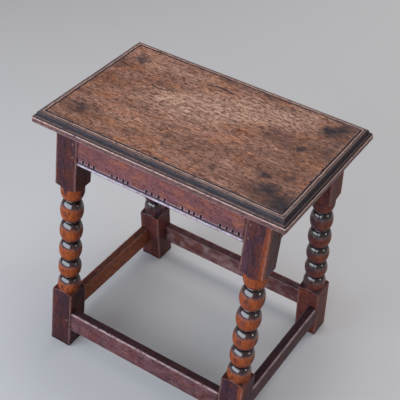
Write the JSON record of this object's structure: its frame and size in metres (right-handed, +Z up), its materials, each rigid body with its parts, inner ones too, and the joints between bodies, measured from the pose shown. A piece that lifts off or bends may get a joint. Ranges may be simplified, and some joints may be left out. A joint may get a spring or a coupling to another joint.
{
  "type": "joint stool",
  "caption": "Pegged oak stool with a moulded plank seat, bobbin-turned splayed legs, a nicked front apron and plain stretchers near the floor.",
  "frame": {"origin": "on the floor under the middle of the seat", "axes": "+X along the seat to the right, +Y from the nicked front to the back, +Z up"},
  "size_m": [0.47, 0.3396, 0.488],
  "materials": {
    "oak_seat": "worn waxed oak, golden brown with darker edges",
    "oak_legs": "polished dark oak, orange-brown on the rubbed turnings",
    "oak_aprons": "polished reddish-brown oak",
    "oak_stretchers": "dark oak with rubbed arrises",
    "oak_pegs": "dark end-grain oak"
  },
  "bodies": {
    "root": {"apron_back": "oak_aprons", "apron_back_peg_left_lower": "oak_pegs", "apron_back_peg_left_upper": "oak_pegs", "apron_back_peg_right_lower": "oak_pegs", "apron_back_peg_right_upper": "oak_pegs", "apron_front": "oak_aprons", "apron_front_peg_left_lower": "oak_pegs", "apron_front_peg_left_upper": "oak_pegs", "apron_front_peg_right_lower": "oak_pegs", "apron_front_peg_right_upper": "oak_pegs", "apron_left": "oak_aprons", "apron_left_peg_back_lower": "oak_pegs", "apron_left_peg_back_upper": "oak_pegs", "apron_left_peg_front_lower": "oak_pegs", "apron_left_peg_front_upper": "oak_pegs", "apron_right": "oak_aprons", "apron_right_peg_back_lower": "oak_pegs", "apron_right_peg_back_upper": "oak_pegs", "apron_right_peg_front_lower": "oak_pegs", "apron_right_peg_front_upper": "oak_pegs", "leg_back_left": "oak_legs", "leg_back_right": "oak_legs", "leg_front_left": "oak_legs", "leg_front_right": "oak_legs", "seat_board": "oak_seat", "seat_peg_back_left": "oak_pegs", "seat_peg_back_right": "oak_pegs", "seat_peg_front_left": "oak_pegs", "seat_peg_front_right": "oak_pegs", "stretcher_back": "oak_stretchers", "stretcher_back_peg_left": "oak_pegs", "stretcher_back_peg_right": "oak_pegs", "stretcher_front": "oak_stretchers", "stretcher_front_peg_left": "oak_pegs", "stretcher_front_peg_right": "oak_pegs", "stretcher_left": "oak_stretchers", "stretcher_left_peg_back": "oak_pegs", "stretcher_left_peg_front": "oak_pegs", "stretcher_right": "oak_stretchers", "stretcher_right_peg_back": "oak_pegs", "stretcher_right_peg_front": "oak_pegs"}
  },
  "joints": []
}
